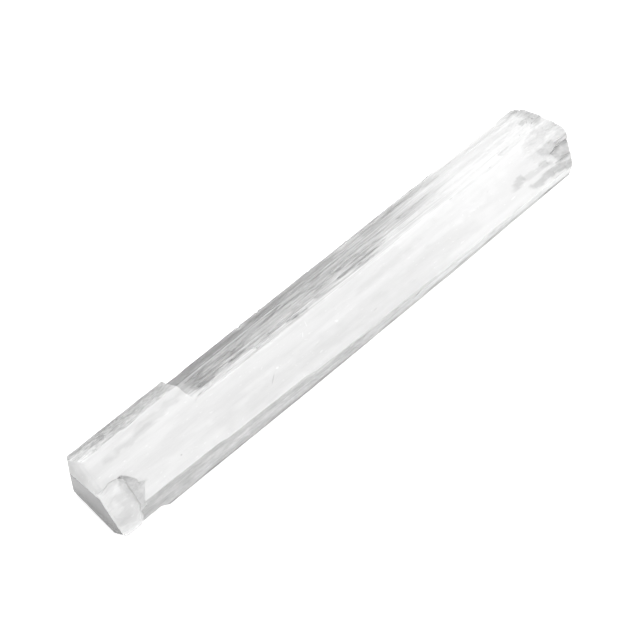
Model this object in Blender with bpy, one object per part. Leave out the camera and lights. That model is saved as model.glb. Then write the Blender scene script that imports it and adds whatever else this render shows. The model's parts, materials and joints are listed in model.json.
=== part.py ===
"""A raw selenite crystal blade, lying on its widest cleavage face.

The blade is one natural crystal: a long, flattened prism with cleaved faces along it, a clean
chisel-shaped end at -X, a splintered end at +X, and a small rounded crystal grown into its near
corner. X runs along the blade, Z is up, and the origin is at the middle of the blade's length and
width, on the surface that it lies on. Places and sizes below are in millimetres; the mesh is in
metres.

A crystal is bounded by flat faces, so the blade is a block that one plane after another cuts to
shape. What broke or split off it later is taken away by Boolean cutters.
"""

import math
import random

import bmesh
import bpy
from mathutils import Euler, Matrix, Vector

MM = 0.001
LENGTH = 150.0
WIDTH = 24.0
THICKNESS = 15.3
TOP = THICKNESS
BACK = WIDTH / 2
FRONT = -WIDTH / 2
NEAR_TIP = -LENGTH / 2
FAR_TIP = LENGTH / 2

# A face is a point on it and the way that it looks, out of the crystal.
TOP_FACE = ((0.0, 0.0, TOP), (0.0, 0.0, 1.0))
REST_FACE = ((0.0, 0.0, 0.0), (0.0, 0.0, 1.0))
BACK_CHAMFER = ((0.0, 7.6, TOP), (0.0, 0.54, 0.84))
BACK_SIDE = ((NEAR_TIP, BACK, 12.6), (0.0028, 0.994, -0.11))
BACK_KEEL = ((0.0, 10.9, 3.6), (0.0, 0.77, -0.64))
FRONT_SIDE = ((34.0, FRONT, TOP), (-0.0122, -1.0, -0.014))  # drawn in towards the near end
FRONT_SIDE_FAR = ((34.0, FRONT, TOP), (0.0, -1.0, -0.082))
FRONT_KEEL = ((0.0, -11.2, 6.1), (0.0, -0.86, -0.51))
FRONT_KEEL_FAR = ((30.0, -11.2, 6.1), (0.022, -0.86, -0.51))
LONG_SIDES = (
    BACK_CHAMFER,
    BACK_SIDE,
    BACK_KEEL,
    FRONT_SIDE,
    FRONT_SIDE_FAR,
    FRONT_KEEL,
    FRONT_KEEL_FAR,
)
NEAR_END = (
    ((NEAR_TIP + 0.1, 5.6, 1.8), (-1.0, -0.075, 0.10)),  # chisel face
    ((-71.0, 7.5, TOP), (-0.727, 0.047, 0.686)),  # bevel at the top
    ((-72.5, 11.8, 8.0), (-0.87, 0.49, 0.05)),  # back corner
    ((-74.0, -6.4, 3.0), (-0.78, -0.62, -0.05)),  # front corner
    ((-73.4, 0.0, 0.0), (-0.74, 0.0, -0.67)),  # heel
)
BROW = ((62.0, 0.0, TOP), (0.125, 0.0, 0.992))
FAR_END = (
    BROW,
    ((FAR_TIP, -2.2, 13.6), (0.953, 0.304, 0.0)),  # back face
    ((FAR_TIP, -2.2, 13.6), (0.965, -0.263, 0.0)),  # tip face
    ((74.2, -4.4, 13.7), (0.80, -0.60, 0.0)),  # front face
    ((71.0, 10.7, 11.0), (0.45, 0.89, 0.10)),  # back corner
    ((69.6, -11.6, 11.0), (0.60, -0.80, 0.05)),  # front corner
    ((74.2, -2.2, 13.8), (0.60, 0.02, 0.80)),  # crown
    ((72.4, 6.2, 13.0), (0.62, 0.34, 0.71)),  # back crown
    ((74.2, 0.0, 0.0), (0.55, 0.05, -0.83)),  # toe
)

# The long slab that split off behind: the ledge where it broke, seen from above, and its floors.
LEDGE = ((-41.4, 1.9), (-42.1, 4.6), (-42.6, 7.7), (-43.0, 8.6), (-43.6, 10.1), (-44.0, 12.8))
INNER_FLOOR = ((0.0, 1.3, TOP), (0.0051, 0.3556, 1.0))
OUTER_FLOOR = ((0.0, 8.5, 12.82), (0.0036, 0.90, 1.0))

# Thin leaves that split off the front side: where each starts and ends, then how far out its
# floor's top edge is at the start and at the end, and how far the floor leans out per millimetre.
FRONT_LEAVES = (
    (-80.0, -44.0, 9.35, 9.87, 0.150),
    (-43.6, -18.5, 10.30, 10.68, 0.083),
)
LEAF_FOOT = 5.0
LEAF_END = (0.22, 0.975, 0.0)

# The small crystal grown into the near front corner, and the pit where its neighbour broke out.
LUMP_SIZE = (10.0, 11.8, 12.4)
LUMP_CENTRE = (-71.2, -5.6, 10.4)
LUMP_TURN = (10.0, 4.0, -3.0)
LUMP_SQUARENESS = 3.1
LUMP_FACETS = (
    ((-73.2, -2.0, 15.0), (-1.0, 0.14, -0.12)),  # close to flush with the end of the blade
    ((-66.4, -9.2, 9.5), (0.75, -0.62, 0.15)),
    ((-68.2, -5.0, 16.3), (0.66, -0.12, 0.74)),
    ((-71.6, -10.4, 6.6), (-0.20, -0.62, -0.75)),
)
PIT = ((-69.5, -2.0), (-66.8, -2.3), (-65.4, -3.6), (-64.4, -4.6), (-64.5, -5.3), (-63.0, -5.7),
       (-65.6, -8.9), (-66.5, -13.0), (-69.5, -13.0))
PIT_FLOOR = ((-63.6, -6.0, TOP - 0.25), (-0.34, -0.20, 0.92))

# The long chip off the front keel beside it: the keel's edge, the way that the chip's floor looks,
# how deep it goes, where it starts and ends, and the slope that it runs out in.
KEEL_EDGE = (-60.4, -11.1, 6.1)
KEEL_CHIP_LOOKS = (0.0, -0.95, -0.31)
KEEL_CHIP_DEPTH = 1.05
KEEL_CHIP_SPAN = (-80.0, -56.0)
KEEL_CHIP_END = (0.50, 0.82, 0.27)

# Chips broken off the top near the far end: the outline from above, then the floor.
FAR_CHIPS = (
    (((66.4, -5.9), (70.6, -4.8), (80.0, -5.4), (80.0, -9.4), (71.0, -8.7), (66.6, -7.4)),
     ((66.5, -6.0, 14.35), (0.26, 0.22, 0.94))),
    (((66.6, 6.3), (69.7, 6.3), (68.6, 4.4), (66.6, 4.6)),
     ((66.6, 4.4, 13.75), (0.03, 0.50, 1.0))),
)

# Nicks in the edges: the middle, then the length, width and depth.
EDGE_NICKS = (
    ((-20.9, 11.35, 10.3), (3.0, 2.2, 1.1)),
    ((-14.8, 11.45, 10.2), (1.6, 1.4, 0.7)),
    ((1.7, 11.40, 10.1), (1.5, 1.5, 0.7)),
    ((14.6, 11.10, 10.3), (5.5, 2.4, 0.6)),
    ((38.0, 11.20, 10.0), (7.0, 1.6, 0.5)),
    ((2.0, -11.60, TOP), (9.0, 0.5, 0.20)),
    ((49.0, -11.95, TOP), (8.0, 0.6, 0.22)),
    ((-66.5, 7.7, TOP), (4.0, 0.6, 0.20)),
    ((-56.5, 7.6, TOP), (6.5, 0.7, 0.20)),
)

SEED = 20
INNER_LANES = 15
OUTER_LANES = 5
END_TOP = 13.0
FLAKES_FROM = -10.8
FLAKES_TO = 9.4
END_ROWS = (2.6, 4.3, 6.0, 7.7, 9.4, 11.1)
END_JITTER = 0.25
NEEDLE_LIFT = 0.15
CUTTER_REACH = 30.0


def collection(name):
    made = bpy.data.collections.new(name)
    bpy.context.scene.collection.children.link(made)
    return made


def object_of(name, bm, into):
    """Ends a bmesh in millimetres and makes it an object in metres."""
    bmesh.ops.recalc_face_normals(bm, faces=bm.faces)
    bmesh.ops.scale(bm, verts=bm.verts, vec=(MM, MM, MM))
    mesh = bpy.data.meshes.new(name)
    bm.to_mesh(mesh)
    bm.free()
    made = bpy.data.objects.new(name, mesh)
    into.objects.link(made)
    return made


def slice_off(bm, face):
    """Removes what lies outside a face, and closes the cut with one flat polygon."""
    point, looks = face
    cut = bmesh.ops.bisect_plane(
        bm,
        geom=[*bm.verts, *bm.edges, *bm.faces],
        dist=1e-5,
        plane_co=point,
        plane_no=Vector(looks).normalized(),
        clear_outer=True,
    )
    edges = [e for e in cut["geom_cut"] if isinstance(e, bmesh.types.BMEdge)]
    if edges:
        bmesh.ops.edgeloop_fill(bm, edges=edges)


def block(low, high):
    """A bmesh box between two corners."""
    low, high = Vector(low), Vector(high)
    bm = bmesh.new()
    bmesh.ops.create_cube(bm, size=1.0)
    bmesh.ops.scale(bm, verts=bm.verts, vec=high - low)
    bmesh.ops.translate(bm, verts=bm.verts, vec=(low + high) / 2)
    return bm


def pillar(outline, low, high):
    """A bmesh prism: a flat outline seen from above, pushed up from low to high."""
    bm = bmesh.new()
    face = bm.faces.new([bm.verts.new((x, y, low)) for x, y in outline])
    pushed = bmesh.ops.extrude_face_region(bm, geom=[face], use_keep_orig=True)
    raised = [v for v in pushed["geom"] if isinstance(v, bmesh.types.BMVert)]
    bmesh.ops.translate(bm, verts=raised, vec=(0.0, 0.0, high - low))
    return bm


def height(face, x, y):
    """How high a face is above the ground at one place."""
    point, looks = Vector(face[0]), Vector(face[1])
    return point.z - (looks.x * (x - point.x) + looks.y * (y - point.y)) / looks.z


def reversed_face(face):
    point, looks = face
    return point, -Vector(looks)


def blade_body():
    bm = block((NEAR_TIP - 5, FRONT - 2, 0), (FAR_TIP + 5, BACK + 2, TOP))
    for face in (*LONG_SIDES, *NEAR_END, *FAR_END):
        slice_off(bm, face)
    return bm


def split_slab(floor):
    """What lies above one floor of the long split at the back."""
    outline = (*LEDGE, (FAR_TIP + 9, LEDGE[-1][1]), (FAR_TIP + 9, LEDGE[0][1] - 3))
    bm = pillar(outline, 2.0, CUTTER_REACH)
    slice_off(bm, reversed_face(floor))
    return bm


def front_leaf(start, end, start_out, end_out, lean):
    """A thin leaf of the front side, outside a floor that leans out towards its foot."""
    bm = block((start, FRONT - 3, LEAF_FOOT), (end + 9, FRONT + 6, TOP + 2))
    first = max(start, NEAR_TIP)
    taper = (end_out - start_out) / (end - first)
    slice_off(bm, reversed_face(((first, -start_out, TOP), (-taper, -1.0, lean))))
    slice_off(bm, ((end, -end_out, TOP), LEAF_END))
    return bm


def keel_chip():
    """The long chip off the front keel beside the small crystal."""
    start, end = KEEL_CHIP_SPAN
    floor = Vector(KEEL_EDGE) - Vector(KEEL_CHIP_LOOKS) * KEEL_CHIP_DEPTH
    bm = block((start, FRONT - 4, 0.5), (end, FRONT + 5, 11.0))
    slice_off(bm, reversed_face((floor, KEEL_CHIP_LOOKS)))
    slice_off(bm, (KEEL_EDGE, KEEL_CHIP_END))
    return bm


def pit():
    bm = pillar(PIT, 5.0, CUTTER_REACH)
    slice_off(bm, reversed_face(PIT_FLOOR))
    return bm


def add_to(joined, bm):
    """Adds one bmesh to another and frees it."""
    mesh = bpy.data.meshes.new("piece")
    bm.to_mesh(mesh)
    bm.free()
    joined.from_mesh(mesh)
    bpy.data.meshes.remove(mesh)


def far_chips():
    """All the chips of the far end in one cutter."""
    joined = bmesh.new()
    for outline, floor in FAR_CHIPS:
        bm = pillar(outline, 5.0, CUTTER_REACH)
        slice_off(bm, reversed_face(floor))
        add_to(joined, bm)
    return joined


def far_reach(y, z):
    """How far along X the faces of the far end let the crystal reach, at one Y and Z."""
    reaches = []
    for point, looks in FAR_END:
        if looks[0] > 0.4:
            miss = looks[1] * (y - point[1]) + looks[2] * (z - point[2])
            reaches.append(point[0] - miss / looks[0])
    return min(reaches)


def far_flakes(rng):
    """Long flakes split off the top where it runs out to the broken end, each to its own depth."""
    joined = bmesh.new()
    y = FLAKES_FROM
    while y < FLAKES_TO:
        width = rng.uniform(0.7, 2.2)
        starts = [far_reach(y, END_TOP) - rng.uniform(1.5, 9.0)]
        starts += [starts[0] + rng.uniform(-0.9, 0.9) for _ in range(2)]
        outline = [(x, y + share * width) for x, share in zip(starts, (0.0, 0.45, 1.0))]
        outline += [(FAR_TIP + 5.0, y + width), (FAR_TIP + 5.0, y)]
        x = min(starts)
        top = min(height(face, x, y) for face in (BROW, TOP_FACE, INNER_FLOOR, OUTER_FLOOR))
        slope = (rng.uniform(0.05, 0.14), rng.uniform(-0.12, 0.12), 1.0)
        bm = pillar(outline, 5.0, CUTTER_REACH)
        slice_off(bm, reversed_face(((x, y, top - rng.uniform(0.12, 0.5)), slope)))
        add_to(joined, bm)
        y += width + rng.uniform(0.3, 1.3)
    return joined


def lump():
    """The small crystal: a ball squared towards a block, with a few flat growth faces."""
    bm = bmesh.new()
    bmesh.ops.create_icosphere(bm, subdivisions=3, radius=1.0)
    for vert in bm.verts:
        spread = sum(abs(c) ** LUMP_SQUARENESS for c in vert.co)
        vert.co /= spread ** (1.0 / LUMP_SQUARENESS)
    half = Matrix.Diagonal((*(Vector(LUMP_SIZE) / 2), 1.0))
    turn = Euler([math.radians(a) for a in LUMP_TURN]).to_matrix().to_4x4()
    bmesh.ops.transform(bm, matrix=Matrix.Translation(LUMP_CENTRE) @ turn @ half, verts=bm.verts)
    for face in LUMP_FACETS:
        slice_off(bm, face)
    return bm


def needle(bm, centre, size, lean=0.0):
    """Adds a long four-sided spindle along X, its middle just off the surface; lean turns it."""
    length, width, depth = size
    turn = Matrix.Rotation(lean, 4, "X")
    lift = Matrix.Translation((0.0, 0.0, NEEDLE_LIFT * depth))
    shape = Matrix.Diagonal((length / 2, width / 2, depth, 1.0))
    bmesh.ops.create_uvsphere(
        bm,
        u_segments=4,
        v_segments=2,
        radius=1.0,
        matrix=Matrix.Translation(centre) @ turn @ lift @ shape,
    )


def row_of_needles(bm, rng, place, lean, start, end, lengths, width, depth, gaps):
    """Needles end to end along X; place(x) gives the surface point that each is centred on."""
    x = start + rng.uniform(*gaps)
    while x < end:
        length = rng.uniform(*lengths)
        if x + length > end:
            break
        middle = x + length / 2
        size = (length, width * rng.uniform(0.6, 1.0), depth * rng.uniform(0.5, 1.0))
        needle(bm, place(middle), size, lean)
        x += length + rng.uniform(*gaps)


def on_top_of(face, y):
    """The place function of a row that runs along a face at one Y."""
    return lambda x: (x, y, height(face, x, y))


def on_side_of(face, z):
    """The place function of a row that runs along a steep face at one Z."""
    point, looks = Vector(face[0]), Vector(face[1])

    def place(x):
        return x, point.y - (looks.x * (x - point.x) + looks.z * (z - point.z)) / looks.y, z

    return place


def lean_of(face):
    """How far a long face is turned round X from lying flat."""
    return -math.atan2(face[1][1], face[1][2])


def split_grooves(rng):
    """The lengthwise grooves that the split left along its two floors."""
    bm = bmesh.new()
    for lane in range(INNER_LANES):
        y = 2.5 + 5.5 * lane / (INNER_LANES - 1)
        row_of_needles(bm, rng, on_top_of(INNER_FLOOR, y), lean_of(INNER_FLOOR),
                       -41.5, rng.uniform(18.0, 50.0), (7.0, 24.0), 0.38, 0.24, (0.2, 4.0))
    for lane in range(OUTER_LANES):
        y = 9.1 + 2.1 * lane / (OUTER_LANES - 1)
        row_of_needles(bm, rng, on_top_of(OUTER_FLOOR, y), lean_of(OUTER_FLOOR),
                       -42.0, rng.uniform(40.0, 66.0), (6.0, 20.0), 0.46, 0.26, (0.3, 4.0))
    return bm


def surface_grooves(rng):
    """Frosted scratches of the back chamfer, and the grain of the sides and the bottom."""
    bm = bmesh.new()
    for face, place_on, rows, span, lengths, width, depth, gaps in (
        (BACK_CHAMFER, on_top_of, (8.2, 8.8, 9.4, 10.0, 10.6, 11.2),
         (-70.5, -44.5), (1.5, 6.0), 0.5, 0.24, (0.2, 2.2)),
        (BACK_SIDE, on_side_of, (4.6, 5.9, 7.2, 8.4),
         (-71.0, 68.0), (10.0, 30.0), 0.8, 0.24, (1.0, 12.0)),
        (FRONT_SIDE, on_side_of, (8.0, 9.2, 10.4, 11.6, 12.8, 13.8),
         (-15.0, 30.0), (6.0, 20.0), 0.5, 0.16, (1.0, 7.0)),
        (FRONT_SIDE_FAR, on_side_of, (8.0, 9.2, 10.4, 11.6, 12.8, 13.8),
         (36.0, 66.0), (6.0, 18.0), 0.6, 0.18, (1.0, 6.0)),
        (FRONT_KEEL, on_side_of, (1.4, 2.6, 3.8),
         (-56.0, 30.0), (10.0, 26.0), 0.7, 0.22, (3.0, 16.0)),
        (BACK_KEEL, on_side_of, (1.2, 2.2),
         (-70.0, 68.0), (12.0, 30.0), 0.7, 0.25, (4.0, 20.0)),
        (REST_FACE, on_top_of, (-5.6, -3.1, 3.4, 6.2),
         (-68.0, 68.0), (10.0, 26.0), 0.6, 0.16, (8.0, 26.0)),
    ):
        for row in rows:
            row_of_needles(bm, rng, place_on(face, row), lean_of(face),
                           *span, lengths, width, depth, gaps)
    return bm


def far_splinters(rng):
    """Notches between the fibre bundles that end in the broken faces."""
    bm = bmesh.new()
    for z in END_ROWS:
        y = -8.8 + rng.uniform(0.0, 2.0)
        while y < 7.0:
            width = rng.uniform(0.5, 2.0)
            size = (rng.uniform(1.0, 4.0), width, rng.uniform(0.15, 0.35))
            rise = rng.uniform(-END_JITTER, END_JITTER)
            needle(bm, (far_reach(y, z), y, z + rise), size, rng.uniform(-0.25, 0.25))
            y += width + rng.uniform(0.3, 2.4)
    return bm


def edge_nicks():
    bm = bmesh.new()
    for middle, size in EDGE_NICKS:
        needle(bm, middle, size)
    return bm


def modifier(body, cutter, operation="DIFFERENCE"):
    made = body.modifiers.new(cutter.name, "BOOLEAN")
    made.operation = operation
    made.object = cutter
    made.solver = "EXACT"
    cutter.hide_render = True
    cutter.display_type = "WIRE"


def selenite():
    """Milky, glassy, nearly colourless gypsum."""
    made = bpy.data.materials.new("selenite")
    made.use_nodes = True
    shader = made.node_tree.nodes["Principled BSDF"]
    shader.inputs["Base Color"].default_value = (0.88, 0.88, 0.88, 1.0)
    shader.inputs["Roughness"].default_value = 0.3
    shader.inputs["Metallic"].default_value = 0.0
    return made


def main():
    for old in list(bpy.data.objects):
        bpy.data.objects.remove(old)
    rng = random.Random(SEED)
    crystal = collection("selenite crystal blade")
    cutters = collection("cutters")
    body = object_of("selenite_blade", blade_body(), crystal)
    body.data.materials.append(selenite())

    modifier(body, object_of("slab_inner", split_slab(INNER_FLOOR), cutters))
    modifier(body, object_of("slab_outer", split_slab(OUTER_FLOOR), cutters))
    for number, leaf in enumerate(FRONT_LEAVES, start=1):
        modifier(body, object_of(f"front_leaf_{number}", front_leaf(*leaf), cutters))
    modifier(body, object_of("keel_chip", keel_chip(), cutters))
    modifier(body, object_of("pit", pit(), cutters))
    modifier(body, object_of("far_chips", far_chips(), cutters))
    modifier(body, object_of("far_flakes", far_flakes(rng), cutters))
    modifier(body, object_of("small_crystal", lump(), cutters), "UNION")
    modifier(body, object_of("split_grooves", split_grooves(rng), cutters))
    modifier(body, object_of("surface_grooves", surface_grooves(rng), cutters))
    modifier(body, object_of("far_splinters", far_splinters(rng), cutters))
    modifier(body, object_of("edge_nicks", edge_nicks(), cutters))


main()
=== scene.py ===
# %% [markdown]
# # A selenite crystal blade
#
# Selenite is the clear to milky form of gypsum. This blade is one long crystal, as wide as two
# fingers, that lies flat. Most of it is milky white. A slab has split off along its back and left
# a darker, clearer strip with fine lines along it. One end is cut clean like a chisel, the other
# is broken into splinters, and a small rounded crystal has grown into the near corner.
#
# The solid model gives the facets at their true size. This script dresses it: it wears down the
# facets in real geometry, and then gives them the finish of a milky crystal.

import json
import math

import bmesh
import bpy
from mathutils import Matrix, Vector, noise

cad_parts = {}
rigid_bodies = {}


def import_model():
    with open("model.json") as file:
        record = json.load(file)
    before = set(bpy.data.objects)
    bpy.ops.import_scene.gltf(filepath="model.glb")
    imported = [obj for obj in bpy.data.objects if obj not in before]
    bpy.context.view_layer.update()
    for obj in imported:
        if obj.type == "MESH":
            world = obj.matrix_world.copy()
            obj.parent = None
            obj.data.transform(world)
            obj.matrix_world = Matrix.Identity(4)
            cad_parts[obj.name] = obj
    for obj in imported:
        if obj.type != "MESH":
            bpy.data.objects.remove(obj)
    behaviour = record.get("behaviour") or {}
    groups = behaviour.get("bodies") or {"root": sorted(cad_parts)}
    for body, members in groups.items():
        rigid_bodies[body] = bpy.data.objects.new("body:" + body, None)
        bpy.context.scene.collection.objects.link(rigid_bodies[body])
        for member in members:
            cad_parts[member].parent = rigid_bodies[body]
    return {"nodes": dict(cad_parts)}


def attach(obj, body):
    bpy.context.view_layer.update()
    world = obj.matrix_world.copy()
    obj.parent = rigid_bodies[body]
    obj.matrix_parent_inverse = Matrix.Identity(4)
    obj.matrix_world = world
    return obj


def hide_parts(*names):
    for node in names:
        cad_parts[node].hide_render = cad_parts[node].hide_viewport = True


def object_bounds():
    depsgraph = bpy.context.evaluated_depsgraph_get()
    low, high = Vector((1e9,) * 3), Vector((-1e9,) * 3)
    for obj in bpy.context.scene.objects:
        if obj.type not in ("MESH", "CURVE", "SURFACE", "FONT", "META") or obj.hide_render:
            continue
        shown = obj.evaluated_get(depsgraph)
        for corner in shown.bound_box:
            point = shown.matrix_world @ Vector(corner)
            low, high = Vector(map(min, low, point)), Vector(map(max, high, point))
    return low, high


for old in list(bpy.data.objects):
    bpy.data.objects.remove(old)
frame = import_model()
cad_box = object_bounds()
# Vector noise takes its seed from the clock unless it is given one.
NOISE_SEED = 2
noise.seed_set(NOISE_SEED)
NODE = "selenite_blade"
MM = 0.001
X, Y, Z = 0, 1, 2
print("solid model, in mm:", [round(c / MM, 2) for corner in cad_box for c in corner])

# %% [markdown]
# ## Camera
#
# A long thing shows best from above and from the side, with a long lens, so that the far end is
# hardly smaller than the near one. The camera is placed by where it stands round the crystal: an
# angle round it, an angle above the table and a distance. That is easier to think about than a
# location and three turns.

# %% Camera
AIM = Vector((-4.264, 0.473, 7.65)) * MM
CAMERA_ROUND = math.radians(-41.554)
CAMERA_ABOVE = math.radians(66.0)
CAMERA_DISTANCE = 408 * MM
CAMERA_NEAREST = 10 * MM
LENS = 94.97


def away(round_it, above):
    """The direction from the crystal to something that stands round it, 0 being the front."""
    flat = math.cos(above)
    return Vector((math.sin(round_it) * flat, -math.cos(round_it) * flat, math.sin(above)))


camera = bpy.data.objects.new("camera", bpy.data.cameras.new("camera"))
bpy.context.scene.collection.objects.link(camera)
camera.data.lens = LENS
camera.data.clip_start = CAMERA_NEAREST
towards_camera = away(CAMERA_ROUND, CAMERA_ABOVE)
camera.location = AIM + towards_camera * CAMERA_DISTANCE
camera.rotation_euler = towards_camera.to_track_quat("Z", "Y").to_euler()
bpy.context.scene.camera = camera
print("camera at", [round(c / MM) for c in camera.location], "mm")

# %% [markdown]
# ## Shader maths in plain Python
#
# A finish that changes over a surface is a sum of masks, and a mask is arithmetic. Joining Math
# nodes by hand hides that arithmetic, so a small class wraps a node's output and lets Python's own
# operators add the nodes. `1 - mask` then works as it reads.


# %% Shader helpers
class Value:
    """A node's output. Python's operators on it add Math nodes."""

    def __init__(self, nodes, socket):
        self.nodes = nodes
        self.socket = socket

    def math(self, operation, first, second):
        return self.nodes.add("ShaderNodeMath", {"operation": operation}, {0: first, 1: second})

    def __add__(self, other):
        return self.math("ADD", self, other)

    def __sub__(self, other):
        return self.math("SUBTRACT", self, other)

    def __mul__(self, other):
        return self.math("MULTIPLY", self, other)

    def __rsub__(self, other):
        return self.math("SUBTRACT", other, self)

    __radd__ = __add__
    __rmul__ = __mul__

    def between(self, low, high):
        """0 up to low, 1 from high on, and a soft step between them."""
        return self.nodes.add(
            "ShaderNodeMapRange",
            {"interpolation_type": "SMOOTHSTEP"},
            {"Value": self, "From Min": low, "From Max": high},
        )


class Nodes:
    """The nodes of one material."""

    def __init__(self, tree):
        self.tree = tree
        tree.nodes.clear()

    def add(self, kind, settings, sockets, output=0):
        """Adds a node, sets it, fills its sockets with numbers or links, and gives an output."""
        made = self.tree.nodes.new(kind)
        for name, value in settings.items():
            setattr(made, name, value)
        for name, value in sockets.items():
            if isinstance(value, Value):
                self.tree.links.new(value.socket, made.inputs[name])
            else:
                made.inputs[name].default_value = value
        if not made.outputs:
            return None
        return Value(self, made.outputs[output])


def material(name):
    """A new material and its nodes, with none in it yet."""
    made = bpy.data.materials.new(name)
    made.use_nodes = True
    return made, Nodes(made.node_tree)


def grey(level):
    """A neutral colour."""
    return (level, level, level, 1.0)


# %% [markdown]
# ## Floor
#
# A milky crystal shows its form by small steps of grey, and those need a white surface and soft
# light from all round. The floor is a light table, white and faintly lit from inside, so that no
# hard shadow hides the lower edge.

# %% Floor
FLOOR_SIZE = 4.0
FLOOR_WHITE = 0.93
FLOOR_GLOW = 0.58

sheet = bmesh.new()
bmesh.ops.create_grid(sheet, x_segments=1, y_segments=1, size=FLOOR_SIZE / 2)
floor_mesh = bpy.data.meshes.new("floor")
sheet.to_mesh(floor_mesh)
sheet.free()
floor = bpy.data.objects.new("floor", floor_mesh)
bpy.context.scene.collection.objects.link(floor)
white, nodes = material("light table")
shader = nodes.add(
    "ShaderNodeBsdfPrincipled",
    {},
    {
        "Base Color": grey(FLOOR_WHITE),
        "Roughness": 0.8,
        "Specular IOR Level": 0.2,
        "Emission Color": grey(1.0),
        "Emission Strength": FLOOR_GLOW,
    },
)
nodes.add("ShaderNodeOutputMaterial", {}, {"Surface": shader})
floor_mesh.materials.append(white)
print("floor:", FLOOR_SIZE, "m square")

# %% [markdown]
# ## Light
#
# Most of the light is an even white sky. One large soft box stands behind and to the right, so that
# the facets that look towards it are a little lighter than the rest. A smaller lamp would throw hot
# spots on the flat faces.

# %% Light
SKY = 0.78


def soft_box(name, round_it, above, distance, size, watts):
    """A square studio light that looks at the crystal."""
    lamp = bpy.data.lights.new(name, "AREA")
    lamp.size = size
    lamp.energy = watts
    made = bpy.data.objects.new(name, lamp)
    bpy.context.scene.collection.objects.link(made)
    place = away(math.radians(round_it), math.radians(above))
    made.location = AIM + place * distance
    made.rotation_euler = place.to_track_quat("Z", "Y").to_euler()


world = bpy.data.worlds.new("studio")
bpy.context.scene.world = world
world.use_nodes = True
world.node_tree.nodes["Background"].inputs["Color"].default_value = grey(SKY)
bpy.context.scene.view_settings.view_transform = "Standard"
soft_box("key light", round_it=150, above=50, distance=1.2, size=0.8, watts=6.0)

# %% [markdown]
# ## The facets
#
# Each facet of the crystal has a finish of its own, so every face has to know which facet it is
# part of. The solid's faces could be picked by hand, but a table of planes is shorter and survives
# a rebuild: a face belongs to the named plane that its middle is nearest to, of those that look
# about the same way. The fine grooves in a facet then count as part of it.

# %% Facets
# The facet's name, a point of its plane in mm, and the way that it looks.
PLANES = (
    ("top", (0.0, 0.0, 15.3), (0.0, 0.0, 1.0)),
    ("brow", (62.0, 0.0, 15.3), (0.125, 0.0, 0.992)),
    ("bottom", (0.0, 0.0, 0.0), (0.0, 0.0, -1.0)),
    ("chamfer", (0.0, 7.6, 15.3), (0.0, 0.54, 0.84)),
    ("side", (-75.0, 12.0, 12.6), (0.0028, 0.994, -0.11)),
    ("keel", (0.0, 10.9, 3.6), (0.0, 0.77, -0.64)),
    ("side", (34.0, -12.0, 15.3), (-0.0122, -1.0, -0.014)),
    ("side", (34.0, -12.0, 15.3), (0.0, -1.0, -0.082)),
    ("side", (-75.0, -9.35, 15.3), (-0.0168, -1.0, 0.15)),
    ("side", (-75.0, -10.3, 15.3), (-0.0151, -1.0, 0.083)),
    ("keel", (0.0, -11.2, 6.1), (0.0, -0.86, -0.51)),
    ("keel", (30.0, -11.2, 6.1), (0.022, -0.86, -0.51)),
    ("keel", (-60.4, -10.1, 6.4), (0.0, -0.95, -0.31)),
    ("end", (-74.9, 5.6, 1.8), (-1.0, -0.075, 0.10)),
    ("bevel", (-71.0, 7.5, 15.3), (-0.727, 0.047, 0.686)),
    ("corner", (-72.5, 11.8, 8.0), (-0.87, 0.49, 0.05)),
    ("low corner", (-74.0, -6.4, 3.0), (-0.78, -0.62, -0.05)),
    ("end", (-73.4, 0.0, 0.0), (-0.74, 0.0, -0.67)),
    ("broken", (75.0, -2.2, 13.6), (0.953, 0.304, 0.0)),
    ("broken", (75.0, -2.2, 13.6), (0.965, -0.263, 0.0)),
    ("broken", (74.2, -4.4, 13.7), (0.80, -0.60, 0.0)),
    ("broken", (71.0, 10.7, 11.0), (0.45, 0.89, 0.10)),
    ("broken", (69.6, -11.6, 11.0), (0.60, -0.80, 0.05)),
    ("broken", (74.2, -2.2, 13.8), (0.60, 0.02, 0.80)),
    ("broken", (72.4, 6.2, 13.0), (0.62, 0.34, 0.71)),
    ("broken", (74.2, 0.0, 0.0), (0.55, 0.05, -0.83)),
    ("inner", (0.0, 1.3, 15.3), (0.0051, 0.3556, 1.0)),
    ("outer", (0.0, 8.5, 12.82), (0.0036, 0.90, 1.0)),
    ("lump", (-73.5, -7.9, 10.9), (-0.98, 0.14, -0.12)),
    ("pit", (-63.6, -6.0, 15.05), (-0.34, -0.20, 0.92)),
    ("ledge", (-41.4, 1.9, 14.0), (0.968, 0.251, 0.0)),
    ("ledge", (-42.1, 4.6, 14.0), (0.987, 0.160, 0.0)),
    ("ledge", (-43.0, 8.6, 13.0), (0.930, 0.370, 0.0)),
)
KINDS = sorted({name for name, _, _ in PLANES})
print(len(PLANES), "planes of", len(KINDS), "kinds of facet")

# %% [markdown]
# ## Which facet a face is part of
#
# The small crystal is round, so no plane describes it. A face belongs to it if it lies in the shell
# of an egg and looks the way that the egg does there. For every other face the nearest plane wins,
# and a face that is turned a little away from the plane counts as further off.

# %% Naming the faces
LUMP_CENTRE = Vector((-71.2, -5.6, 10.4))
LUMP_HALF = (5.0, 5.9, 6.2)
# The shell of the egg, as shares of its half size. Broken bits of it may lie further out.
LUMP_SHELL = (0.74, 1.12)
LUMP_BITS = 1.25
LUMP_PULL = 0.15
LUMP_TURN = 0.88
LEAST_TURN = 0.3
TURN_COST = 1.5
BROKEN_FROM = 50.0
PIT_FROM = -70.0
MERGE_LOOSE = 0.001


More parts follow.
